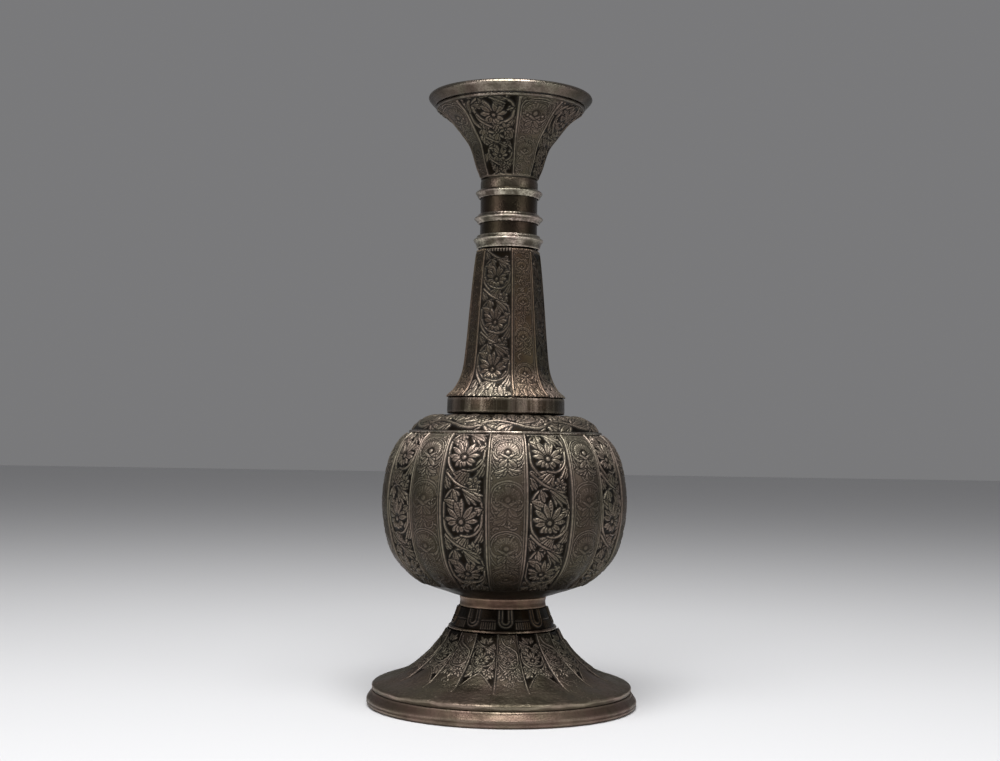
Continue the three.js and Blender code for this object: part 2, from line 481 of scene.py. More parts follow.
    def fan(
        self, x: float, y: float, heading: float, size: float, spread: float, lobes: int, rise: float
    ) -> None:
        """Raises a broad leaf whose rimmed lobes spread from its stalk.

        Args:
            x: Stalk, across.
            y: Stalk, along.
            heading: Direction of its middle lobe, in degrees.
            size: Length of its middle lobe.
            spread: Angle between its outer lobes, in degrees.
            lobes: Number of lobes.
            rise: Height in millimetres.
        """
        width = 0.34 * size * math.radians(spread) / (lobes - 1)
        for aside in sorted(np.linspace(-1, 1, lobes), key=abs, reverse=True):
            length = size * (1 - 0.28 * aside**2)
            middle = polar(0.55 * length, heading + aside * spread * 0.5) + (x, y)
            tip = middle + polar(0.45 * length, heading + aside * spread * 0.85)
            shape = [share * width for share in (0.5, 0.9, 1.15, 1, 0.15)]
            lobe = smooth_line([(x, y), middle, tip], 8)
            self.ridge(lobe, shape, rise * (1 - 0.12 * abs(aside)), 0.55, 0.36)

    def acanthus(
        self, x: float, y: float, heading: float, size: float, curl: float, rise: float, pairs: int = 3
    ) -> None:
        """Raises a split leaf: a curved rib with rimmed lobes on both sides and one at its tip.

        Args:
            x: Stalk, across.
            y: Stalk, along.
            heading: Direction in which it leaves the stalk, in degrees.
            size: Length of its rib.
            curl: Angle by which the rib bends on its way, in degrees.
            rise: Height in millimetres.
            pairs: Number of pairs of lobes.
        """
        count = pairs + 1
        rib = [np.array([x, y])]
        for k in range(count):
            rib.append(rib[-1] + polar(size / count, heading + curl * k / pairs))
        for k in range(pairs):
            along = heading + curl * k / pairs
            length = size * (0.52 - 0.1 * k)
            for side in (-1, 1):
                out = polar(0.5 * length, along + side * (62 - 10 * k))
                middle = rib[k + 1] * 0.6 + rib[k] * 0.4 + out
                end = middle + polar(0.5 * length, along + side * (18 - 4 * k))
                self.leaf([rib[k], middle, end], 0.125 * size, rise * 0.92)
        shape = [share * size for share in (0.05, 0.08, 0.12, 0.1, 0.02)]
        self.ridge(np.array(rib), shape, rise, 0.45, 0.3)

    def poppy(self, cx: float, cy: float, radius: float, rays: int, rise: float) -> None:
        """Raises a poppy: a fluted crescent over a bossed dark eye, on two leaves that cross below it.

        Args:
            cx: Middle, across.
            cy: Middle, along.
            radius: Half the crescent's width.
            rays: Number of lines on the crescent.
            rise: Height in millimetres.
        """
        crest = arc(0, 0, 0.64 * radius, -6, 186, 24) * (1.0, 0.82) + (cx, cy)
        self.ridge(crest, [share * radius for share in (0.16, 0.27, 0.3, 0.27, 0.16)], rise)
        for k in range(rays):
            angle = math.radians(180 * (k + 0.5) / rays)
            steps = np.linspace(0.42 * radius, 0.95 * radius, 4)
            self.score(np.column_stack([cx + steps * math.cos(angle), cy + 0.82 * steps * math.sin(angle)]))
        self.groove(cx, cy, 0.25 * radius, 0.09 * radius)
        self.boss(cx, cy, 0.16 * radius, rise * 0.9)
        blade = np.array([
            (-0.62, -0.08), (-0.32, -0.24), (0.0, -0.42), (0.36, -0.6), (0.74, -0.56), (1.0, -0.26),
            (1.06, 0.06),
        ])
        shape = [share * radius for share in (0.02, 0.09, 0.07, 0.1, 0.06, 0.03)]
        for side in (-1, 1):
            self.ridge(smooth_line(blade * (side * radius, radius) + (cx, cy), 24), shape, rise, 0.3)
            x = cx + side * 0.1 * radius
            self.fan(x, cy - 0.6 * radius, -90 + side * 48, 0.7 * radius, 60, 3, rise * 0.9)

    def border(self, edge: float, line: float, low: float, high: float, rise: float) -> None:
        """Raises the fillet along both sides of a panel and a thin line inside it, rounded at its corners.

        Args:
            edge: Place of the fillet, across.
            line: Place of the thin line, across.
            low: Where both end below.
            high: Where the fillet ends above.
            rise: Height of the fillet in millimetres.
        """
        for side in (-1, 1):
            self.ridge([(side * edge, low), (side * edge, high)], 0.06, rise, 0.0)
            thin = side * line
            corner = [(thin, low), (thin, high - 0.42), (thin * 0.86, high - 0.2), (0, high - 0.13)]
            self.ridge(np.array(corner), 0.026, rise * 0.5)

    def finish(self, fade: Array | float = 1.0) -> tuple[Array, Array]:
        """The panel's height, brought level at its sides, and how clean its metal is.

        Args:
            fade: How much of the work shows in each row, from 0 to 1.

        Returns:
            Heights in millimetres and cleanness from 0 to 1.
        """
        inward = 1 - np.abs(self.across)[:, None]
        if self.carving is Carving.BAND:
            inward = np.ones_like(inward)
        side = smoothstep(inward, 0, 0.07)
        height = self.height * side * fade
        if self.carving is Carving.SHALLOW:
            clean = self.PLATE_CLEAN - self.PLATE_CLEAN * self.ink
            height = height - self.LINE_DEPTH * self.ink * side * fade
        else:
            top = max(self.height.max() - self.base, 1e-6)
            clean = smoothstep(self.height - self.base, 0.04 * top, 0.5 * top)
        crease = 1 - smoothstep(inward, 0.0, 0.05)
        worked = clean * (1 - 0.8 * crease)
        return height, self.PLAIN_CLEAN + (worked - self.PLAIN_CLEAN) * fade


@dataclass
class Vine:
    """A winding vine from the top down: in each cell a ring of stem round an aster, with split leaves.

    A cell is drawn round its flower at the pitch CELL; other pitches stretch it. A closed ring's stem
    goes on under the flower and meets its other side. Aside moves the whole vine across.
    """

    flowers: Sequence[float]
    pitch: float
    rise: float
    reach: float = 0.93
    stem: float = 0.05
    petals: int = 13
    radius: float = 0.96
    closed: bool = False
    aside: float = 0.0

    def at(self, middle: float, *points: Point) -> Array:
        """Points of a cell, carried to its place in the panel."""
        return np.array(points) * (self.reach, self.pitch / CELL) + (self.aside, middle)

    def spray(
        self, relief: Relief, middle: float, stalk: Point, heading: float, size: float, spread: float,
        lobes: int,
    ) -> None:
        """Draws a broad leaf.

        Args:
            relief: The panel's worked metal.
            middle: Level of the cell's flower.
            stalk: The leaf's stalk, a point of the cell.
            heading: Its direction in degrees.
            size: Its length in a cell that isn't stretched.
            spread: Angle between its outer lobes, in degrees.
            lobes: Number of lobes.
        """
        x, y = self.at(middle, stalk)[0]
        length = size * min(self.reach, self.pitch / CELL)
        relief.fan(x, y, heading, length, spread, lobes, self.rise * 0.95)

    def draw(self, relief: Relief, rng: np.random.Generator) -> None:
        """Draws the whole vine.

        Args:
            relief: The panel's worked metal.
            rng: Source of the small differences of handwork.
        """
        last = self.flowers[-1]
        for stalk, heading in (((-0.6, -1.2), 235), ((0.55, -1.2), 300), ((0, -1.3), 268)):
            self.spray(relief, last, stalk, heading, 0.8, 55, 3)
        for v in self.flowers:
            self.cell(relief, v + float(rng.uniform(-0.03, 0.03)), rng)

    def cell(self, relief: Relief, v: float, rng: np.random.Generator) -> None:
        """Draws one ring of stem with what grows inside it and at its corners.

        Args:
            relief: The panel's worked metal.
            v: Level of its flower.
            rng: Source of the small differences of handwork.
        """
        rise, stem = self.rise, self.stem
        sway = float(rng.uniform(-0.12, -0.02))
        bend = float(rng.uniform(-10, 10))
        scale = min(self.reach, self.pitch / CELL)
        for stalk, heading, size, curl, pairs in (
            ((-0.98, 1.95), -78, 0.62, 30, 2), ((0.62, 1.3), 58 + bend, 0.42, 40, 2),
            ((-0.8, -0.6), 250, 0.6, 34, 2), ((0.97, -0.1), 262, 0.95, -10, 3),
        ):
            x, y = self.at(v, stalk)[0]
            relief.acanthus(x, y, heading, size * scale, curl, rise * 0.92, pairs)
        left = self.at(
            v, (0.05, 1.5), (-0.42, 1.46), (-0.78, 1.22), (-0.98, 0.8), (-1.0, 0.25), (-0.93, -0.3),
            (-0.64, -0.7), (-0.3, -1.02), (0.0, -1.33),
        )
        relief.ridge(smooth_line(left, 40), [stem * 0.7, stem, stem * 1.25, stem], rise)
        right = self.at(
            v, (-0.95, 2.15), (-0.45, 1.74), (0.05, 1.5), (0.48, 1.34), (0.82, 1.05), (0.98, 0.6),
            (1.0, 0.15), (0.92, -0.35), (0.64, -0.86), (0.3, -1.14), (0.0, -1.33),
        )
        relief.ridge(smooth_line(right, 44), [stem * 1.3, stem, stem * 0.8, stem], rise)
        self.spray(relief, v, (0.22, -0.6), 230 + bend, 1.08, 58, 5)
        carrier = [(0.97, 0.3), (0.9, -0.2), (0.62, -0.54), (0.25, -0.67), (-0.12, -0.62)]
        if self.closed:
            carrier += [(-0.5, -0.5), (-0.8, -0.2), (-0.94, 0.15)]
        carrier = self.at(v, *carrier)
        relief.ridge(smooth_line(carrier, 24), [stem * 1.2, stem * 1.1, stem * 0.8], rise * 1.05)
        x, y = self.at(v, (0.52, -1.26))[0]
        relief.aster(x, y, 0.34, 7, rise * 0.9, float(rng.uniform(0, 60)))
        for stalk, heading, size, spread in (
            ((-0.92, 0.92), -14 + bend, 0.8, 46), ((-0.5, 1.4), -72 + bend, 0.6, 50),
            ((0.95, 0.55), 205 - bend, 0.5, 50),
        ):
            self.spray(relief, v, stalk, heading, size, spread, 3)
        turn = float(rng.uniform(0, 30))
        relief.aster(self.aside + sway, v, self.radius, self.petals, rise, turn, 0.5)
        self.spray(relief, v, (-0.02, 1.42), -34 + bend, 1.12, 48, 5)


@dataclass
class Roundels:
    """Poppies in thin ringed arches, with small leaves between them, from the top down.

    Worn says how much of each roundel is left, from 0 to 1.
    """

    middles: Sequence[float]
    rise: float
    radius: float = 0.68
    rays: int = 11
    worn: Sequence[float] = (1.0, 0.32, 0.42, 0.3)
    curls: int = 100

    def draw(self, relief: Relief, rng: np.random.Generator) -> None:
        """Draws all the roundels.

        Args:
            relief: The panel's worked metal.
            rng: Source of the small differences of handwork.
        """
        relief.press = 0.55
        relief.pits(60, rng)
        relief.press = 0.75
        relief.curls(self.curls, rng)
        for v, share in zip(self.middles, self.worn):
            lean = float(rng.uniform(-0.05, 0.05))
            relief.press = share
            self.roundel(relief, lean, v, self.rise * (0.2 + 0.9 * share), rng)
        relief.acanthus(0, self.middles[-1] - 1.35 * self.radius, -90, 0.7, 0, self.rise * 0.6)

    def roundel(self, relief: Relief, lean: float, v: float, rise: float, rng: np.random.Generator) -> None:
        """Draws one poppy, the double arch over it and the leaves below it.

        Args:
            relief: The panel's worked metal.
            lean: Middle of the poppy, across.
            v: Middle of the poppy, along.
            rise: Height in millimetres.
            rng: Source of the small differences of handwork.
        """
        r = self.radius
        arch = np.array([
            (-0.55, -1.5), (-1.05, -0.85), (-1.16, -0.1), (-0.85, 0.82), (0, 1.14), (0.85, 0.82),
            (1.16, -0.1), (1.0, -0.85), (0.4, -1.35),
        ])
        for share, width in ((1.06, 0.026), (0.92, 0.018)):
            relief.ridge(smooth_line(arch * share * r + (lean, v), 40), width, rise * 0.7)
        for side in (-1, 1):
            bend = float(rng.uniform(-16, 16))
            relief.acanthus(side * 0.08, v - 1.2 * r, -90 + side * 58 + bend, 0.6, side * 40, rise * 0.7, 3)
            relief.acanthus(side * 0.8, v + 0.75 * r, 90 - side * 6, 0.4, side * 70 + bend, rise * 0.6, 2)
            curl = arc(side * (0.8 + 0.002 * bend), v - 0.95 * r, 0.11, 90 - side * 60, 90 + side * 200, 12)
            relief.ridge(curl, [0.03, 0.024, 0.016], rise * 0.7)
        relief.poppy(lean, v, r, self.rays, rise)


class NodeSheet:
    """A short way to lay out shader nodes in a tree."""

    def __init__(self, tree: bpy.types.NodeTree) -> None:
        """Works on one tree."""
        self.tree = tree

    def add(self, kind: str, inputs: dict | None = None, **settings: object) -> bpy.types.Node:
        """Adds a node.

        Args:
            kind: Node type.
            inputs: Values or output sockets for its inputs, by name or index.
            settings: Properties of the node.

        Returns:
            The node.
        """
        node = self.tree.nodes.new(kind)
        for key, value in settings.items():
            setattr(node, key, value)
        for key, value in (inputs or {}).items():
            socket = node.inputs[key]
            if isinstance(value, bpy.types.NodeSocket):
                self.tree.links.new(value, socket)
            else:
                socket.default_value = value
        return node

    def attribute(self, name: str) -> bpy.types.NodeSocket:
        """A number that the meshes carry for each vertex."""
        return self.add("ShaderNodeAttribute", attribute_name=name).outputs["Fac"]

    def math(self, operation: str, a: object, b: object) -> bpy.types.NodeSocket:
        """A sum, product or other operation on two values."""
        return self.add("ShaderNodeMath", {0: a, 1: b}, operation=operation).outputs[0]

    def blend(self, factor: object, a: object, b: object, kind: str = "MIX") -> bpy.types.NodeSocket:
        """A mix, or another blend, of two colours.

        Args:
            factor: Share of the second colour, a number or a socket.
            a: The first colour, three numbers or a socket.
            b: The second colour.
            kind: Blend type.

        Returns:
            The blended colour.
        """
        node = self.add("ShaderNodeMix", {}, data_type="RGBA", blend_type=kind)
        for index, value in ((0, factor), (6, a), (7, b)):
            if isinstance(value, bpy.types.NodeSocket):
                self.tree.links.new(value, node.inputs[index])
            elif index == 0:
                node.inputs[index].default_value = value
            else:
                node.inputs[index].default_value = (*value, 1.0)
        return node.outputs[2]

    def spread(
        self, value: object, low: float, high: float, to_low: object, to_high: float
    ) -> bpy.types.NodeSocket:
        """A value carried from one range to another, and held inside it."""
        ends = {0: value, 1: low, 2: high, 3: to_low, 4: to_high}
        return self.add("ShaderNodeMapRange", ends, clamp=True).outputs[0]


# Outputs of the groups for mottle and for wear with painted light
MOTTLE = ("Clouds", "Spots", "Patches", "Lines")
WEAR_AND_LIGHT = ("Shine", "RubbedAndPaintedHighlight", "DullAndPaintedShade", "Dirt")


def new_group(
    name: str, setting: str, value: float, outputs: Sequence[str]
) -> tuple[NodeSheet, bpy.types.NodeSocket, bpy.types.Node]:
    """A node group with one number to set, whose outputs are numbers too.

    Args:
        name: Name of the group.
        setting: Name of its input.
        value: The input's default.
        outputs: Names of its outputs.

    Returns:
        A sheet to lay its nodes on, its input and the node that its outputs go to.
    """
    group = bpy.data.node_groups.new(name, "ShaderNodeTree")
    socket = group.interface.new_socket(setting, in_out="INPUT", socket_type="NodeSocketFloat")
    socket.default_value = value
    for label in outputs:
        group.interface.new_socket(label, in_out="OUTPUT", socket_type="NodeSocketFloat")
    sheet = NodeSheet(group)
    return sheet, sheet.add("NodeGroupInput").outputs[setting], sheet.add("NodeGroupOutput")


def mottle_group() -> bpy.types.NodeTree:
    """Uneven tarnish: broad clouds, small spots, patches of another tint and turning lines, from 0 to 1.

    Returns:
        The group.
    """
    sheet, scale, result = new_group("mottle", "Scale", 60.0, MOTTLE)
    where = sheet.add("ShaderNodeTexCoord").outputs["Object"]
    aside = sheet.add("ShaderNodeMapping", {"Vector": where, "Location": (0.37, 0.11, 0.23)}).outputs[0]
    level = sheet.add("ShaderNodeMapping", {"Vector": where, "Scale": (0.03, 0.03, 1)}).outputs[0]
    for name, vector, finer, detail, low, high in (
        ("Clouds", where, 1.0, 6.0, 0.35, 0.68), ("Spots", where, 9.0, 3.0, 0.42, 0.66),
        ("Patches", aside, 0.7, 5.0, 0.38, 0.62), ("Lines", level, 26.0, 2.0, 0.3, 0.7),
    ):
        fineness = sheet.math("MULTIPLY", scale, finer)
        noise = sheet.add("ShaderNodeTexNoise", {"Vector": vector, "Scale": fineness, "Detail": detail})
        sheet.tree.links.new(sheet.spread(noise.outputs[0], low, high, 0, 1), result.inputs[name])
    return sheet.tree


def reflection_streak_group() -> bpy.types.NodeTree:
    """Upright bright streaks of painted reflection, from 0 to 1.

    Returns:
        The group.
    """
    sheet, scale, result = new_group("reflection_streaks", "Scale", 150.0, ("Streaks",))
    where = sheet.add("ShaderNodeTexCoord").outputs["Object"]
    drawn = sheet.add("ShaderNodeMapping", {"Vector": where, "Scale": (1, 1, 0.05)}).outputs[0]
    noise = sheet.add("ShaderNodeTexNoise", {"Vector": drawn, "Scale": scale, "Detail": 3.0})
    sheet.tree.links.new(sheet.spread(noise.outputs[0], 0.48, 0.66, 0, 1), result.inputs["Streaks"])
    return sheet.tree


def wear_and_light_group() -> bpy.types.NodeTree:
    """Where handling has polished the metal, where light and shade are painted, and where dirt lies, from
    the mesh's own attributes.

    Shine is the polished gleam of the high lines and the second output the sheen of the whole surface round
    them; where the wear value carries painted light they are painted highlight as well. The third output
    darkens the metal where the wear value falls below zero: tarnish on some pieces, painted shade on the
    belly's underside and down the neck. Even unworn lines shine a little.

    Returns:
        The group.
    """
    sheet, least, result = new_group("relief_wear_and_painted_light", "Least", 0.18, WEAR_AND_LIGHT)
    crest, hollow, worn, clean = (sheet.attribute(name) for name in ("crest", "hollow", "worn", "clean"))
    # Shine and sheen rise with the wear value, so its painted highlight brightens them; below zero the wear
    # value paints shade
    shine = sheet.math("MULTIPLY", crest, sheet.spread(worn, -0.3, 0.8, least, 1.0))
    rubbed_and_painted_highlight = sheet.math("MULTIPLY", sheet.spread(worn, 0, 1, 0, 0.75), clean)
    for name, value in zip(WEAR_AND_LIGHT, (shine, rubbed_and_painted_highlight, sheet.spread(worn, -1, 0, 1, 0), hollow)):
        sheet.tree.links.new(value, result.inputs[name])
    return sheet.tree


@dataclass(frozen=True)
class Finish:
    """One finish of tarnished, handled metal.

    Its name is also the record's slot. Its colours are those of the dark ground, of the body and of
    the worn high lines; the bright colour also paints highlight and reflection streaks. Ground depth says
    how black the ground between raised work is, stain how much tarnish dulls the polished places, and turned
    how much the lathe's lines show, each from 0 to 1.
    """

    name: str
    ground: Triple
    body: Triple
    bright: Triple
    roughness: float
    scale: float
    ground_depth: float
    stain: float
    turned: float


CHASED = Finish(
    "chased_metal", (0.007, 0.0052, 0.0036), (0.082, 0.066, 0.05), (0.46, 0.395, 0.34),
    roughness=0.38, scale=55.0, ground_depth=0.92, stain=0.25, turned=0.0,
)
PLAIN = Finish(
    "plain_metal", (0.014, 0.011, 0.008), (0.09, 0.073, 0.058), (0.76, 0.68, 0.61),
    roughness=0.22, scale=90.0, ground_depth=0.5, stain=0.92, turned=0.5,
)
COPPER = Finish(
    "copper_tone", (0.03, 0.021, 0.016), (0.14, 0.102, 0.084), (0.48, 0.4, 0.34),
    roughness=0.38, scale=100.0, ground_depth=0.5, stain=0.8, turned=0.5,
)


@dataclass
class Finishes:
    """The materials of the vase's finishes, which share the mottle group, the painted reflection streak
    group and the group for wear and painted light.
    """

    warm_tint: Triple = (1.0, 0.8, 0.64)
    olive_tint: Triple = (0.87, 0.9, 0.79)
    rosy_tint: Triple = (1.0, 0.915, 0.885)
    rough_clouds: float = 0.2
    rough_dirt: float = 0.25
    dirt_metal: float = 0.35
    grain_strength: float = 0.2
    grain_depth: float = 0.0004

    def build(self) -> None:
        """Makes the node groups and the materials."""
        self.mottle = mottle_group()
        self.reflection_streaks = reflection_streak_group()
        self.wear = wear_and_light_group()
        self.made = {finish.name: self.material(finish) for finish in (CHASED, PLAIN, COPPER)}

    def material(self, finish: Finish) -> bpy.types.Material:
        """Makes the material of one finish.

        Args:
            finish: The finish.

        Returns:
            The material.
        """
        made = bpy.data.materials.new(finish.name)
        made.use_nodes = True
        made.node_tree.nodes.clear()
        sheet = NodeSheet(made.node_tree)
        mottle = sheet.add("ShaderNodeGroup", {"Scale": finish.scale}, node_tree=self.mottle)
        reflection_streaks = sheet.add("ShaderNodeGroup", node_tree=self.reflection_streaks).outputs["Streaks"]
        wear = sheet.add("ShaderNodeGroup", node_tree=self.wear).outputs
        clean, warm, painted_reflection = (sheet.attribute(label) for label in ("clean", "warm", "painted_reflection"))
        clouds, spots, patches, lines = (mottle.outputs[name] for name in MOTTLE)
        # Ground and body, clouded with tarnish
        raised = sheet.spread(clean, 0.0, 0.8, 1 - finish.ground_depth, 1)
        body = sheet.blend(raised, finish.ground, finish.body)
        body = sheet.blend(sheet.math("MULTIPLY", clouds, 0.5), body, finish.ground)
        # Sheen, held back where the metal is stained, then painted reflection streaks and shining high
        # lines; sheen and high lines are partly painted highlight
        unstained = sheet.math(
            "MULTIPLY",
            sheet.spread(clouds, 0.1, 0.8, 1, 1 - finish.stain),
            sheet.spread(spots, 0, 1, 1, 1 - 0.7 * finish.stain),
        )
        speckle = sheet.spread(spots, 0, 1, 1, 0.5)
        for shown, share in ((wear["RubbedAndPaintedHighlight"], unstained), (reflection_streaks, painted_reflection), (wear["Shine"], speckle)):
            body = sheet.blend(sheet.math("MULTIPLY", shown, share), body, finish.bright)
        # Dirt in the hollows, then darkening that is partly tarnish and partly painted shade, then the tints
        for dark in (wear["Dirt"], wear["DullAndPaintedShade"]):
            body = sheet.blend(dark, body, finish.ground)
        body = sheet.blend(warm, body, sheet.blend(1.0, body, self.warm_tint, "MULTIPLY"))
        body = sheet.blend(1.0, body, sheet.blend(patches, self.olive_tint, self.rosy_tint), "MULTIPLY")
        rough = sheet.spread(clouds, 0, 1, finish.roughness, finish.roughness + self.rough_clouds)
        rough = sheet.math("ADD", rough, sheet.math("MULTIPLY", wear["Dirt"], self.rough_dirt))
        metal = sheet.spread(wear["Dirt"], 0, 1, 1.0, self.dirt_metal)
        grain = sheet.math("ADD", spots, sheet.math("MULTIPLY", lines, finish.turned))
        bump = sheet.add(
            "ShaderNodeBump",
            {"Height": grain, "Strength": self.grain_strength, "Distance": self.grain_depth},
        )
        shader = sheet.add(
            "ShaderNodeBsdfPrincipled",
            {"Base Color": body, "Roughness": rough, "Metallic": metal, "Normal": bump.outputs[0]},
        )
        sheet.add("ShaderNodeOutputMaterial", {"Surface": shader.outputs[0]})
        return made


@dataclass
class TurnedPiece:
    """A plain turned piece: a closed section spun all the way round.

    A softened section is spaced out again over a number of corners and rounded. Worn and warm are its
    wear and its warmth of colour, and the painted reflection value paints upright reflection streaks; swing
    raises the wear value at front and back over the sides, so these render brighter. Its node is its own
    name unless another is given.
    """

    name: str
    section: Sequence[Point]
    steps: int = 168
    softened: bool = True
    node: str = ""
    worn: float = 0.4
    warm: float = 0.0
    painted_reflection: float = 0.0
    corners: int = 40
    swing: float = 0.0

    def build(self, finishes: Finishes, finish: Finish, slot: str = "") -> None:
        """Spins the section and adds the piece.

        Args:
            finishes: The vase's materials.
            finish: The piece's finish.
            slot: The record's material slot, where it isn't the finish's own; not used.
        """
        line = np.asarray(self.section, float)
        if self.softened:
            line = respaced(np.vstack([line, line[:1]]), self.corners + 1)[:-1]
            line = (np.roll(line, 1, 0) + 2 * line + np.roll(line, -1, 0)) / 4
        mesh = spun_mesh(self.name, line, 360.0, self.steps)
        points = coordinates(mesh)
        bearing = np.arctan2(points[:, 0], -points[:, 1])
        # Turned by hand, so a little out of round
        ripple = 1 - 0.0007 * (1 + np.sin(3 * bearing + 1)) - 0.0005 * (1 + np.sin(7 * bearing))
        points[:, :2] *= ripple[:, None]
        place(mesh, points)
        station = stations(mesh)
        bend = line - (np.roll(line, 3, 0) + np.roll(line, -3, 0)) / 2
        outward = line - line.mean(0)
        convex = (bend * outward).sum(1) / np.maximum(np.hypot(*outward.T), 1e-6)
        crest = np.clip(convex * 1.6 - 0.1, 0, 1)
        shown = outward[:, 0] > -0.2 * np.abs(outward[:, 0]).max()
        paint(mesh, "clean", np.full(len(points), 0.95))
        paint(mesh, "crest", np.where(shown, crest, 0)[station])
        paint(mesh, "hollow", np.where(shown, 0, 0.3)[station])
        # Swing raises the wear value at front and back over the sides, so these faces render brighter
        paint(mesh, "worn", self.worn + self.swing * np.cos(2 * bearing))
        for label, value in (("warm", self.warm), ("painted_reflection", self.painted_reflection)):
            paint(mesh, label, np.full(len(points), value))
        material = finishes.made[finish.name]
        add_piece(self.name, mesh, material, self.node or self.name)


def wire_section(radius: float, level: float, thickness: float, corners: int = 14) -> list[Point]:
    """The round section of a wire hoop.

    Args:
        radius: The hoop's radius, in millimetres.
        level: Its height.
        thickness: The wire's thickness.
        corners: Number of corners of the section.

    Returns:
        The section.
    """
    turns = [2 * math.pi * k / corners for k in range(corners)]
    half = thickness / 2
    return [(radius + half * math.cos(t), level + half * math.sin(t)) for t in turns]


def blurred(field: Array, times: int) -> Array:
    """A field of values, each averaged with its neighbours a number of times.

    Args:
        field: The values.
        times: How often they are averaged.

    Returns:
        The smoother field.
    """
    for _ in range(times):
        padded = np.pad(field, 1, mode="edge")
        sides = padded[:-2, 1:-1] + padded[2:, 1:-1] + padded[1:-1, :-2] + padded[1:-1, 2:]
        field = (sides + padded[1:-1, 1:-1]) / 5
    return field


# How far a wall is pressed out, in millimetres, from bearings in degrees, heights and radii
Shape = Callable[[Array, Array, Array], Array | float]

# Draws a panel, given its number, and says how much of the work shows in each row
Draw = Callable[[Relief, int], Array | float]


def unpressed(degrees: Array, level: Array, radius: Array) -> float:
    """The shape of a wall that is only turned."""
    return 0.0


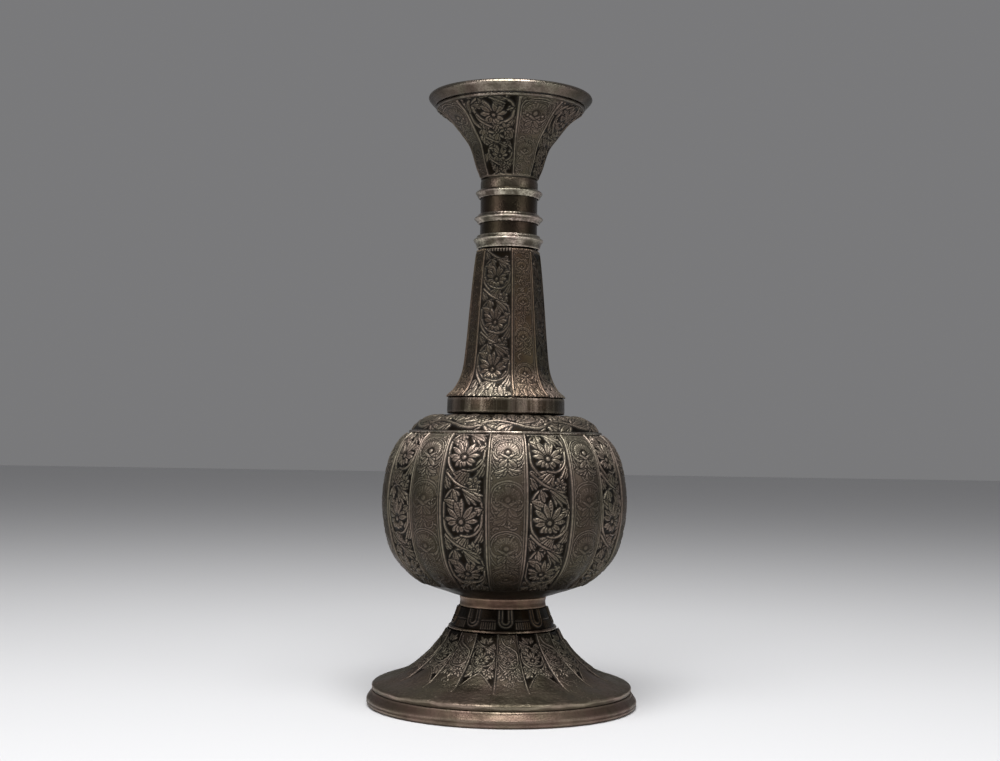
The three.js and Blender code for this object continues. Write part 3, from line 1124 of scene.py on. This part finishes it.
@dataclass
class ChasedWall:
    """A sheet-metal wall whose outer side carries panels of worked metal.

    Its outline runs from the bottom up. The wall is spun in equal pieces, each with the same
    series of panels, and shape gives the large pressed form under the fine work. Plate is the height
    of shallow plates and the depth of sunk grounds in millimetres. The wear table gives the wear at each
    height; on the belly, neck, foot and mouth it also carries painted light, high values painting a
    highlight and values below zero painting shade. Waver is how far the edges of these zones wander up and
    down.
    """

    node: str
    outline: Sequence[Point]
    pieces: int
    first_edge: float
    panels: Sequence[tuple[float, Carving]]
    rows: int
    columns: int
    draw: Draw
    shape: Shape = unpressed
    plate: float = 0.45
    wall: float = 1.5
    inner_rows: int = 14
    polish_and_painted_light: Sequence[Point] = ((0, 0.3),)
    waver: float = 0.0

    def build(self, finishes: Finishes, finish: Finish) -> None:
        """Spins one piece of the wall, then works, turns and adds each copy of it.

        Args:
            finishes: The vase's materials.
            finish: The wall's finish.
        """
        outer = smooth_line(self.outline, self.rows)
        inner = inner_side(outer, self.wall, self.inner_rows)[::-1]
        sweep = 360.0 / self.pieces
        blank = spun_mesh(self.node, np.vstack([outer, inner]), sweep, self.columns)
        station = stations(blank)
        start = coordinates(blank)
        bearing = np.mod(np.degrees(np.arctan2(start[:, 0], -start[:, 1])) + 1e-3, 360)
        column = np.clip(np.rint(bearing / sweep * self.columns), 0, self.columns).astype(int)
        rows = np.minimum(station, self.rows - 1)
        tangent = np.gradient(outer, axis=0)
        tangent /= np.hypot(*tangent.T)[:, None]
        for index in range(self.pieces):
            first = self.first_edge + index * sweep
            degrees = (first + np.linspace(0, sweep, self.columns + 1))[:, None]
            height, clean, warm, rub = self.work(outer, degrees[:, 0], first, index)
            radial = outer[:, 0] + self.shape(degrees, outer[:, 1], outer[:, 0]) + height * tangent[:, 1]
            upward = outer[:, 1] - height * tangent[:, 0]
            within = (len(degrees), self.inner_rows)
            inside = inner[:, 0] + self.shape(degrees, inner[:, 1], inner[:, 0])
            radial = np.hstack([radial, np.broadcast_to(inside, within)])
            upward = np.hstack([upward, np.broadcast_to(inner[:, 1], within)])
            turn = np.radians(degrees[column, 0])
            r, z = radial[column, station] * MM, upward[column, station] * MM
            mesh = blank.copy()
            place(mesh, np.column_stack([r * np.sin(turn), -r * np.cos(turn), z]))
            self.mark(mesh, height, clean, column, station)
            # Wear by height, partly handling wear and partly painted light: a high value paints the metal
            # brighter, a value below zero paints it darker
            wander = self.waver * (np.sin(5 * turn + 1) + np.sin(13 * turn) + np.sin(29 * turn + 2))
            worn = np.interp(outer[rows, 1] + wander, *zip(*self.polish_and_painted_light))
            paint(mesh, "worn", worn + rub[column, rows])
            paint(mesh, "warm", warm[column, rows])
            name = self.node if self.pieces == 1 else f"{self.node}_{index + 1}"
            add_piece(name, mesh, finishes.made[finish.name], self.node)
        bpy.data.meshes.remove(blank)

    def work(self, outer: Array, degrees: Array, first: float, index: int) -> tuple[Array, ...]:
        """Draws the panels of one piece.

        Args:
            outer: The wall's outline.
            degrees: Bearing of each column.
            first: Bearing of the piece's first edge.
            index: Which piece of the wall it is.

        Returns:
            Height in millimetres, cleanness, warmth and added wear, for each column and row.
        """
        height, clean, warm, rub = np.zeros((4, len(degrees), self.rows))
        step = np.hypot(*np.diff(outer, axis=0).T)
        edge = first
        for number, (width, carving) in enumerate(self.panels):
            scale = 1 / (outer[:, 0] * math.radians(width / 2))
            along = np.concatenate([[0], np.cumsum(step * (scale[1:] + scale[:-1]) / 2)])
            inside = (degrees >= edge - 1e-6) & (degrees <= edge + width + 1e-6)
            across = (degrees[inside] - edge - width / 2) / (width / 2)
            relief = Relief(across, along - along[-1], carving, self.plate)
            fade = self.draw(relief, index * len(self.panels) + number)
            height[inside], clean[inside] = relief.finish(fade)
            warm[inside] = relief.warm
            rub[inside] = relief.rub
            edge += width
        return height, clean, warm, rub

    def mark(self, mesh: bpy.types.Mesh, height: Array, clean: Array, column: Array, station: Array) -> None:
        """Stores how clean, how raised over its surroundings and how sunk each vertex is.

        Args:
            mesh: The piece's mesh.
            height: Height of the work, for each column and row.
            clean: Cleanness, likewise.
            column: Each vertex's column.
            station: Each vertex's place in the wall's section.
        """
        front = station < self.rows
        rows = np.minimum(station, self.rows - 1)
        sharp = height - blurred(height, 2)
        broad = height - blurred(height, 10)
        crest = np.clip(sharp * 5 + broad * 0.9, 0, 1)
        hollow = np.clip(-sharp * 4 - broad * 1.1, 0, 1)
        for label, field, behind in (("clean", clean, 0.35), ("crest", crest, 0), ("hollow", hollow, 0.3)):
            paint(mesh, label, np.where(front, field[column, rows], behind))


@dataclass(frozen=True)
class Facets:
    """The shape of neck and mouth: flat facets that turn round between two heights at either end."""

    foot: Point
    top: Point

    def __call__(self, degrees: Array, level: Array, radius: Array) -> Array:
        """How far the facets lie inside the circle through their ridges.

        Args:
            degrees: Bearings.
            level: Heights, in millimetres.
            radius: The circle's radius at each height.

        Returns:
            The depth as a number below zero, in millimetres.
        """
        turn = np.mod(degrees - FIRST_RIDGE, DEEP_FACET + SHALLOW_FACET)
        narrow = turn < SHALLOW_FACET
        width = np.where(narrow, SHALLOW_FACET, DEEP_FACET)
        offset = np.where(narrow, turn - SHALLOW_FACET / 2, turn - SHALLOW_FACET - DEEP_FACET / 2)
        flat = -radius * (1 - np.cos(np.radians(width / 2)) / np.cos(np.radians(offset)))
        return flat * smoothstep(level, *self.foot) * (1 - smoothstep(level, *self.top))


# Angle and carving of the panels on one spun piece of a wall
PANEL_PAIR = ((PANEL_ANGLE, Carving.SHALLOW), (PANEL_ANGLE, Carving.DEEP))
FACET_PAIR = ((SHALLOW_FACET, Carving.SHALLOW), (DEEP_FACET, Carving.DEEP))
REPEATS = ((REPEAT_ANGLE, Carving.BAND),) * round(360 / REPEAT_ANGLE)


@dataclass
class Foot:
    """The foot: base ring, panelled bell, wire, tongued collar and the copper-toned ring above.

    On a panel of the bell the work is whole above worn_from and gone below plain_from. Of the wire,
    radius, height and thickness are given.
    """

    rim: Sequence[Point] = (
        (83, 0), (87.2, 0), (88.5, 1.4), (88.8, 2.4), (88.2, 3.1), (88.8, 3.9), (88.5, 5), (87.1, 6.9),
        (86, 8.4), (85.4, 9.8), (82, 9.9), (80.6, 9.3), (83.4, 7.7), (86.2, 4.6), (86.2, 1.5), (83, 1.5),
    )
    bell: Sequence[Point] = (
        (84.7, 10.2), (85.1, 11.7), (83.8, 14.2), (72.8, 18.1), (63.2, 22.2), (51.3, 31.2), (42.8, 40.6),
        (36.4, 49.9),
    )
    wire: Triple = (34.6, 51.2, 2.4)
    collar: Sequence[Point] = ((34.4, 52.5), (31.7, 58.8), (29.6, 64.7))
    collar_edge: float = -16.4
    collar_ground: float = -0.3
    stem_ring: Sequence[Point] = ((25, 65), (28.6, 65), (28, 68.2), (28.7, 71.7), (25, 71.7))
    rise: float = 0.75
    lobe_rise: float = 0.9
    worn_from: float = -4.2
    plain_from: float = -5.5
    arch: float = -3.75
    fillet: float = 0.9
    # Wear by height on the bell: the bright line at 12 to 13 mm along the rolled edge is painted highlight,
    # partly edge wear
    polish_and_painted_light: Sequence[Point] = (
        (10, 0.1), (11.4, 0.2), (12.2, 1.3), (12.9, 1.3), (13.6, 0.3), (18, 0.42), (25, 0.26), (34, 0.22),
        (50, 0.1),
    )

    def bell_shape(self, degrees: Array, level: Array, radius: Array) -> Array:
        """Low lobes on the bell that fade out at its rolled edge and at its top.

        Args:
            degrees: Bearings.
            level: Heights, in millimetres.
            radius: Radii, which don't matter here.

        Returns:
            How far the bell is pressed out, in millimetres.
        """
        turn = np.radians((degrees - FOOT_FRONT_PANEL) * PANELS / 2)
        fade = smoothstep(level, 13, 19) * (1 - smoothstep(level, 44, 49))
        return self.lobe_rise * fade * (np.abs(np.cos(turn)) - 1)

    def bell_draw(self, relief: Relief, number: int) -> Array:
        """Draws one panel of the bell, rich above and worn plain below.

        Args:
            relief: The panel's worked metal.
            number: The panel's number, which seeds its small differences.

        Returns:
            How much of the work shows in each row.
        """
        rng = np.random.default_rng(100 + number)
        relief.warm = 0.15 * (1 - smoothstep(relief.along, self.plain_from, self.worn_from + 0.8))
        deep = relief.carving is Carving.DEEP
        if deep:
            self.deep_panel(relief, rng)
        else:
            self.shallow_panel(relief, rng)
        low = 1 - smoothstep(relief.along, self.plain_from, self.worn_from)
        dents = blurred(rng.normal(size=relief.height.shape), 4)
        relief.height += low * (0.6 * dents + (0.0 if deep else -0.05))
        return (1 - 0.65 * low) * smoothstep(relief.along - relief.along[0], 0.1, 0.4)

    def arch_at(self, across: Array) -> Array:
        """Level of the arch that ends a deep panel's work."""
        return self.arch - 1.3 * np.abs(across) ** 1.6

    def deep_panel(self, relief: Relief, rng: np.random.Generator) -> None:
        """Draws a flower in its ring of stem among broad leaves, over a low arch.

        Args:
            relief: The panel's worked metal.
            rng: Source of the small differences of handwork.
        """
        relief.press = 0.75
        for x, y, heading, size in (
            (-0.1, -0.9, 125, 0.8), (0.2, -0.9, 70, 0.7), (-0.75, -0.9, -80, 0.8), (0.8, -1.0, 250, 0.7),
            (-0.7, -3.2, 280, 0.8), (0.75, -3.4, 255, 0.9),
        ):
            relief.fan(x, y, heading, size, 55, 3, self.rise * 0.85)
        Vine((-2.55,), 2.35, self.rise, 0.9, radius=0.82, closed=True).draw(relief, rng)
        below = smoothstep(self.arch_at(relief.across)[:, None] - relief.along[None, :], 0.0, 0.12)
        relief.height += (relief.base + 0.33 - relief.height) * below
        side = np.linspace(-0.9, 0.9, 24)
        relief.ridge(np.column_stack([side, self.arch_at(side)]), 0.045, self.rise * 0.6)

    def shallow_panel(self, relief: Relief, rng: np.random.Generator) -> None:
        """Draws a lower flower under one broad leaf, with a stem beside it and a fillet at each side.

        Args:
            relief: The panel's worked metal.
            rng: Source of the small differences of handwork.
        """
        relief.press = 0.8
        relief.curls(50, rng)
        Vine((-2.75,), 2.1, self.rise * 0.8, 0.74, radius=0.62, closed=True).draw(relief, rng)
        relief.fan(0.25, -0.9, 80, 0.7, 60, 3, self.rise * 0.7)
        stem = [(-0.6, -0.3), (-0.35, -1.0), (0.3, -1.45), (0.7, -1.9), (0.72, -2.6)]
        relief.ridge(smooth_line(stem, 20), [0.05, 0.09, 0.06], self.rise)
        for edge in (-self.fillet, self.fillet):
            relief.ridge([(edge, self.plain_from), (edge, 0)], 0.04, self.rise)

    def collar_shape(self, degrees: Array, level: Array, radius: Array) -> float:
        """The collar's ground, a little inside its outline."""
        return self.collar_ground

    def collar_draw(self, relief: Relief, number: int) -> float:
        """Draws one tongue, with a plain field and short flutes beside it.

        Args:
            relief: The repeat's worked metal.
            number: The repeat's number: every other one is warm in colour.

        Returns:
            1, since all the work shows.
        """
        end = relief.along[0]
        bow = end + 0.55
        relief.warm = 0.8 * (number % 2)
        for reach, width in ((0.2, 0.045), (0.38, 0.05)):
            for side in (-reach, reach):
                relief.ridge([(side, bow), (side, 0)], width, self.rise)
            relief.ridge(arc(0, bow, reach, 180, 360), width, self.rise)
        for flute in np.linspace(0.6, 1.4, 7):
            relief.ridge([(flute, end + 0.08), (flute, end + 0.42)], 0.04, self.rise * 0.45)
        relief.ridge([(0.66, end * 0.5), (1.34, end * 0.5)], 0.05, self.rise * 0.3)
        relief.ridge([(0.58, bow), (1.42, bow)], 0.02, self.rise * 0.4)
        return 1.0

    def build(self, finishes: Finishes) -> None:
        """Builds and dresses the foot.

        Args:
            finishes: The vase's materials.
        """
        TurnedPiece("foot_rim", self.rim, 240, worn=0.1, warm=0.1, corners=76).build(finishes, COPPER)
        ChasedWall(
            "foot_plate", self.bell, pieces=9, first_edge=FOOT_FRONT_PANEL - PANEL_ANGLE / 2,
            panels=PANEL_PAIR, rows=160, columns=100, draw=self.bell_draw, shape=self.bell_shape, plate=0.2,
            polish_and_painted_light=self.polish_and_painted_light, waver=0.28,
        ).build(finishes, CHASED)
        wire = wire_section(*self.wire)
        TurnedPiece("foot_wire", wire, worn=0.2, warm=0.5).build(finishes, PLAIN)
        ChasedWall(
            "foot_collar", self.collar, pieces=1, first_edge=self.collar_edge, panels=REPEATS, rows=40,
            columns=480, draw=self.collar_draw, shape=self.collar_shape, plate=0.1, polish_and_painted_light=((0, -0.25),),
        ).build(finishes, CHASED)
        TurnedPiece("stem_ring", self.stem_ring, worn=0.12, warm=0.5).build(finishes, COPPER)


@dataclass
class Belly:
    """The belly's lobed bowl, the wire round its shoulder and the leaf band above it.

    Of the wire, radius, height and thickness are given.
    """

    bowl: Sequence[Point] = (
        (20, 72), (29, 72), (38.4, 74.8), (53.2, 80.2), (65.5, 90), (73.4, 101), (78, 117), (79.5, 134),
        (77.9, 150), (74.1, 163.6), (69.2, 172.4), (63.6, 177.3),
    )
    floor: Sequence[Point] = ((0, 72), (20, 72), (20, 73.5), (0, 73.5))
    wire: Triple = (62.5, 178.5, 2.2)
    shoulder: Sequence[Point] = ((61.4, 179.7), (58.8, 183.3), (53.4, 187.2), (46.8, 189.4), (37.6, 190.3))
    shoulder_edge: float = -14.0
    shoulder_rise: float = 0.9
    lobe_rise: float = 1.5
    sink: float = 0.7
    rise: float = 1.25
    work_end: float = -8.7
    # Wear by height on the belly, partly handling wear and partly painted light: a painted highlight where
    # the shoulder faces up, from 156 mm to the top, and painted shade on the downward-facing underside below
    # 90 mm
    polish_and_painted_light: Sequence[Point] = (
        (72, -0.6), (80, -0.45), (90, -0.08), (102, 0.04), (140, 0.07), (156, 0.27), (164, 0.7),
        (170, 0.95), (177, 0.8),
    )

    def shape(self, degrees: Array, level: Array, radius: Array) -> Array:
        """Melon lobes, the deep panels a little sunk between the shallow ones.

        Args:
            degrees: Bearings.
            level: Heights, in millimetres.
            radius: Radii, which don't matter here.

        Returns:
            How far the bowl is pressed out, in millimetres.
        """
        turn = (degrees - BELLY_FRONT_PANEL) * PANELS / 360
        across = np.abs(np.cos(turn * math.pi))
        deep = np.abs(np.rint(turn)) % 2
        fade = smoothstep(level, 74.5, 84) * (1 - smoothstep(level, 165, 176.5))
        return fade * (self.lobe_rise * (across - 0.6) - self.sink * deep * across)

    def draw(self, relief: Relief, number: int) -> Array:
        """Draws one panel of the belly: shallow and deep ones take turns.

        Args:
            relief: The panel's worked metal.
            number: The panel's number, which seeds its small differences.

        Returns:
            How much of the work shows in each row.
        """
        rng = np.random.default_rng(number)
        if relief.carving is Carving.DEEP:
            # Holds back the painted top highlight on the upper part of the deep panels
            relief.rub = -0.3 * smoothstep(relief.along, -3.6, -2.2)
            Vine((-1.5, -4.42, -7.2), 2.85, self.rise).draw(relief, rng)
        else:
            Roundels((-1.22, -3.42, -5.62, -7.6), self.rise * 0.42).draw(relief, rng)
            relief.border(0.91, 0.79, self.work_end, -0.02, self.rise * 0.55)
        begun = smoothstep(relief.along, self.work_end - 0.5, self.work_end)
        return begun * (1 - smoothstep(relief.along, -0.03, 0))

    def shoulder_draw(self, relief: Relief, number: int) -> float:
        """Draws one repeat of the shoulder's crossing leaf scroll.

        Args:
            relief: The repeat's worked metal.
            number: The repeat's number, which doesn't matter here.

        Returns:
            1, since all the work shows.
        """
        middle = relief.along[0] + 0.26
        rise = self.shoulder_rise
        for x, lift, heading, size, curl, share in (
            (-0.55, 0.1, 80, 0.75, 30, 1), (0.45, 0.05, 95, 0.8, -30, 1), (-0.05, 0.2, 90, 0.6, 10, 0.9),
            (0.95, 0.1, 90, 0.6, 20, 0.9), (-0.95, 0, -30, 0.62, 25, 1), (0.05, 0, 20, 0.75, -10, 1),
            (-0.1, -0.02, 195, 0.6, 30, 1), (0.95, 0, 200, 0.5, -20, 1),
        ):
            relief.acanthus(x, middle + lift, heading, size, curl, rise * share)
        lifts = (0, 0.15, 0.12, 0, -0.12, -0.15, 0)
        wave = [(x, middle + lift) for x, lift in zip((-1.05, -0.7, -0.35, 0, 0.35, 0.7, 1.05), lifts)]
        relief.ridge(smooth_line(wave, 40), 0.042, rise)
        return 1.0

    def build(self, finishes: Finishes) -> None:
        """Builds and dresses the belly and its shoulder.

        Args:
            finishes: The vase's materials.
        """
        ChasedWall(
            "belly", self.bowl, pieces=9, first_edge=BELLY_FRONT_PANEL - PANEL_ANGLE / 2, panels=PANEL_PAIR,
            rows=330, columns=124, draw=self.draw, shape=self.shape, polish_and_painted_light=self.polish_and_painted_light,
        ).build(finishes, CHASED)
        floor = TurnedPiece("belly_floor", self.floor, 96, softened=False, node="belly")
        floor.build(finishes, PLAIN, CHASED.name)
        wire = wire_section(*self.wire)
        TurnedPiece("shoulder_wire", wire, worn=0.9).build(finishes, PLAIN)
        ChasedWall(
            "shoulder_plate", self.shoulder, pieces=1, first_edge=self.shoulder_edge, panels=REPEATS,
            rows=56, columns=720, draw=self.shoulder_draw, plate=0.15,
            polish_and_painted_light=((179, 0.45), (184, 0.25), (190, 0.15)),
        ).build(finishes, CHASED)


@dataclass
class Neck:
    """The collar, the eight-sided neck, and the plain sleeve with its three turned rings."""

    collar: Sequence[Point] = (
        (36.2, 190.6), (38.3, 190.6), (38.8, 191.6), (38.6, 200.6), (38.2, 201.4), (36.2, 201.4),
    )
    tube: Sequence[Point] = (
        (39.1, 201.7), (38.4, 202.6), (34.4, 206.4), (30.7, 213), (28.2, 222), (26.4, 238), (24.7, 258),
        (22.8, 279), (21.3, 292.5), (20.7, 296), (19.9, 298),
    )
    facets: Facets = Facets((203, 220), (294.5, 297.5))
    sleeve: Sequence[Point] = ((17.4, 298.3), (18.9, 298.3), (18.7, 322), (18.9, 344.8), (17.4, 344.8))
    lower_ring: Sequence[Point] = (
        (19.3, 299.2), (20.8, 299.2), (21.1, 301.2), (21.8, 303.1), (22.9, 304.3), (23.1, 304.9),
        (22.6, 305.6), (21.2, 306.2), (20.9, 306.9), (21, 307.5), (20.3, 308), (19.3, 308),
    )
    middle_ring: Sequence[Point] = (
        (19.3, 315.6), (20.1, 315.8), (21.2, 317.4), (22.5, 318.5), (22.7, 319.1), (22.2, 319.8),
        (20.6, 320.8), (20, 321.8), (19.3, 322),
    )
    upper_ring: Sequence[Point] = (
        (19.3, 332.2), (20.1, 332.5), (20.9, 334.2), (21.9, 335.4), (22.1, 335.9), (21.5, 336.7),
        (20.1, 337.6), (19.3, 337.9),
    )
    rise: float = 0.85
    # Wear by height on the neck, partly painted light: a painted highlight on the upward-facing flare at its
    # foot and painted shade down the upright facets
    polish_and_painted_light: Sequence[Point] = ((202, 0.95), (207, 0.75), (211, 0.15), (220, -0.25), (295, -0.28), (297, 0.2))

    def draw(self, relief: Relief, number: int) -> Array:
        """Draws one facet of the neck: narrow shallow and broad deep ones take turns.

        Args:
            relief: The facet's worked metal.
            number: The facet's number, which seeds its small differences.

        Returns:
            How much of the work shows in each row.
        """
        rng = np.random.default_rng(200 + number)
        end = relief.along[0]
        if relief.carving is Carving.DEEP:
            Vine((-2.15, -4.85, -7.45), 2.65, self.rise, closed=True).draw(relief, rng)
        else:
            relief.warm = 0.5
            relief.rub = 0.27
            wear = (0.7, 0.6, 0.7, 0.9)
            Roundels((-1.65, -4.5, -7.1, -9.6), self.rise * 0.45, 0.56, 9, wear).draw(relief, rng)
            relief.border(0.9, 0.76, end + 0.1, -0.25, self.rise * 0.5)
        for x in (-0.66, -0.2, 0.26, 0.72):
            relief.fan(x - 0.1, end, 92 + 20 * x, 0.62, 50, 3, self.rise * 0.8)
        for flute in np.linspace(-0.9, 0.9, 9):
            relief.ridge([(flute, -0.06), (flute, -0.2)], 0.05, self.rise * 0.6)
        return 1 - smoothstep(relief.along, -0.08, 0)

    def build(self, finishes: Finishes) -> None:
        """Builds and dresses the neck.

        Args:
            finishes: The vase's materials.
        """
        # The collar carries upright streaks of painted reflection
        collar = TurnedPiece("neck_collar", self.collar, worn=0.0, warm=0.3, painted_reflection=0.28)
        collar.build(finishes, PLAIN)
        ChasedWall(
            "neck_tube", self.tube, pieces=4, first_edge=FIRST_RIDGE, panels=FACET_PAIR, rows=220,
            columns=112, draw=self.draw, shape=self.facets, plate=0.3, polish_and_painted_light=self.polish_and_painted_light,
        ).build(finishes, CHASED)
        TurnedPiece("neck_sleeve", self.sleeve, worn=-0.35, warm=0.3).build(finishes, PLAIN)
        rings = {"lower": self.lower_ring, "middle": self.middle_ring, "upper": self.upper_ring}
        for name, section in rings.items():
            TurnedPiece(f"neck_ring_{name}", section, worn=1.0, corners=60).build(finishes, PLAIN)


@dataclass
class Mouth:
    """The trumpet, the fillet under the rim and the plain rim band.

    Of the fillet's wire, radius, height and thickness are given.
    """

    trumpet: Sequence[Point] = (
        (18.8, 345.1), (19.3, 347.3), (21.6, 352.8), (25.8, 365.5), (31.5, 373.8), (39.5, 384.1),
        (48.1, 390.4),
    )
    facets: Facets = Facets((345.3, 348.5), (366, 388))
    wire: Triple = (48, 391.5, 2.1)
    rim: Sequence[Point] = (
        (47.6, 392.6), (49.8, 392.6), (52, 394.9), (53.6, 396.8), (54, 397.8), (53.4, 399.1), (52.2, 400),
        (50.8, 400), (49.9, 396.2),
    )
    rise: float = 1.0
    # Wear by height on the trumpet: the bright band at its foot, 345 to 346 mm, is painted highlight
    polish_and_painted_light: Sequence[Point] = ((345, 0.4), (345.8, 0.4), (346.8, -0.08), (390, 0.0))

    def draw(self, relief: Relief, number: int) -> Array:
        """Draws one facet of the trumpet.

        Args:
            relief: The facet's worked metal.
            number: The facet's number, which seeds its small differences.

        Returns:
            How much of the work shows in each row.
        """
        rng = np.random.default_rng(300 + number)
        if relief.carving is Carving.DEEP:
            self.strand(relief)
            vine = Vine((-0.84, -3.0), 1.5, self.rise, 0.8, petals=11, radius=0.68, closed=True, aside=0.12)
            vine.draw(relief, rng)
        else:
            relief.rub = 0.15
            Roundels((-0.9, -3.3), self.rise * 0.4, 0.7, worn=(0.7, 0.4), curls=60).draw(relief, rng)
            for x in (-0.42, 0.42):
                relief.groove(x, -1.0, 0.11, 0.04)
                relief.boss(x, -1.0, 0.07, self.rise * 0.4)
            for turn in (0.2, 0.12):
                relief.ridge(arc(0.62, -0.32, turn, -60, 220), 0.022, self.rise * 0.3)
            relief.border(0.9, 0.78, relief.along[0] + 0.05, -0.05, self.rise * 0.5)
        ends = smoothstep(relief.along - relief.along[0], 0.02, 0.2)
        return ends * (1 - smoothstep(relief.along, -0.06, 0))

    def strand(self, relief: Relief) -> None:
        """Draws the leafy stem that winds between the two rings and up the panel's left side.

        Args:
            relief: The facet's worked metal.
        """
        stem = [(-0.9, -0.1), (-0.95, -1.0), (-0.5, -1.5), (0.1, -1.75), (0.7, -2.2), (0.9, -2.8)]
        relief.ridge(smooth_line(stem, 30), [0.05, 0.08, 0.07, 0.05], self.rise)
        for x, y, heading in (
            (-0.95, -0.2, -60), (-0.9, -0.6, 60), (-0.5, -1.5, 80), (-0.6, -1.45, 250), (0.0, -1.7, 60),
            (0.1, -1.75, 235), (0.5, -2.0, 40), (-0.4, -1.75, 262), (0.75, -1.5, 285), (-0.85, -2.2, 60),
            (-0.8, -2.9, 250), (0.85, -3.3, 260), (-0.3, -2.1, 200), (-0.5, -4.3, 262), (0.0, -4.2, 275),
            (0.5, -4.3, 265), (-0.2, -3.8, 250), (0.3, -3.8, 290),
        ):
            relief.fan(x, y, heading, 0.55, 60, 3, self.rise * 0.85)

    def build(self, finishes: Finishes) -> None:
        """Builds and dresses the mouth.

        Args:
            finishes: The vase's materials.
        """
        ChasedWall(
            "mouth_trumpet", self.trumpet, pieces=4, first_edge=FIRST_RIDGE, panels=FACET_PAIR, rows=130,
            columns=150, draw=self.draw, shape=self.facets, plate=0.3, polish_and_painted_light=self.polish_and_painted_light,
        ).build(finishes, CHASED)
        wire = wire_section(*self.wire)
        TurnedPiece("mouth_wire", wire, worn=0.25, swing=0.2).build(finishes, PLAIN)
        TurnedPiece("rim_band", self.rim, worn=0.1, corners=60, swing=0.2).build(finishes, PLAIN)


@dataclass
class Studio:
    """The pale floor, the soft light and the camera, in metres and watts."""

    distance: float = 0.989
    camera_height: float = 0.177
    lens: float = 54.0
    lift: float = 0.0545
    roll_degrees: float = -0.9
    aside: float = -0.0035
    middle: Triple = (0, 0, 0.2)
    floor_reach: float = 6.0
    floor_colour: Triple = (0.75, 0.75, 0.76)
    air_colour: Triple = (0.8, 0.8, 0.82)
    air_light: float = 0.24

    def camera(self) -> None:
        """Places the camera at the photograph's height and distance."""
        data = bpy.data.cameras.new("camera")
        data.lens = self.lens
        data.sensor_width = 36
        data.clip_start = 0.05
        data.shift_y = self.lift
        camera = bpy.data.objects.new("camera", data)
        camera.rotation_mode = "XYZ"
        camera.location = (self.aside, -self.distance, self.camera_height)
        camera.rotation_euler = (math.radians(90), math.radians(self.roll_degrees), 0)
        bpy.context.scene.collection.objects.link(camera)
        bpy.context.scene.camera = camera

    def floor(self) -> None:
        """Makes the pale floor."""
        bm = bmesh.new()
        bmesh.ops.create_grid(bm, x_segments=2, y_segments=2, size=self.floor_reach)
        mesh = bpy.data.meshes.new("floor")
        bm.to_mesh(mesh)
        bm.free()
        made = bpy.data.materials.new("pale_floor")
        made.use_nodes = True
        shader = made.node_tree.nodes["Principled BSDF"]
        shader.inputs["Base Color"].default_value = (*self.floor_colour, 1)
        shader.inputs["Roughness"].default_value = 0.7
        mesh.materials.append(made)
        floor = bpy.data.objects.new("floor", mesh)
        bpy.context.scene.collection.objects.link(floor)

    def lamp(self, name: str, where: Triple, size: float, power: float) -> None:
        """Adds a soft square lamp that looks at the middle of the vase.

        Args:
            name: Name of the lamp.
            where: Its place.
            size: Length of its side.
            power: Its power.
        """
        data = bpy.data.lights.new(name, "AREA")
        data.size = size
        data.energy = power
        lamp = bpy.data.objects.new(name, data)
        lamp.location = where
        aim = Vector(self.middle) - Vector(where)
        lamp.rotation_mode = "QUATERNION"
        lamp.rotation_quaternion = aim.to_track_quat("-Z", "Y")
        bpy.context.scene.collection.objects.link(lamp)

    def build(self) -> None:
        """Sets up the whole studio."""
        self.camera()
        self.floor()
        self.lamp("top", (-0.05, -0.55, 1.45), 0.9, 27.0)
        self.lamp("left", (-1.3, -1.0, 0.6), 0.8, 5.0)
        self.lamp("right", (1.3, -0.9, 0.7), 0.8, 3.4)
        world = bpy.data.worlds.new("world")
        world.use_nodes = True
        air = world.node_tree.nodes["Background"]
        air.inputs["Color"].default_value = (*self.air_colour, 1)
        air.inputs["Strength"].default_value = self.air_light
        bpy.context.scene.world = world
        bpy.context.scene.view_settings.view_transform = "Standard"


def main() -> None:
    """Builds the vase and its studio."""
    logging.basicConfig(level=logging.INFO, format="%(message)s")
    Studio().build()
    finishes = Finishes()
    finishes.build()
    for part in (Foot(), Belly(), Neck(), Mouth()):
        part.build(finishes)
    bpy.context.view_layer.update()


if __name__ == "__main__":
    main()
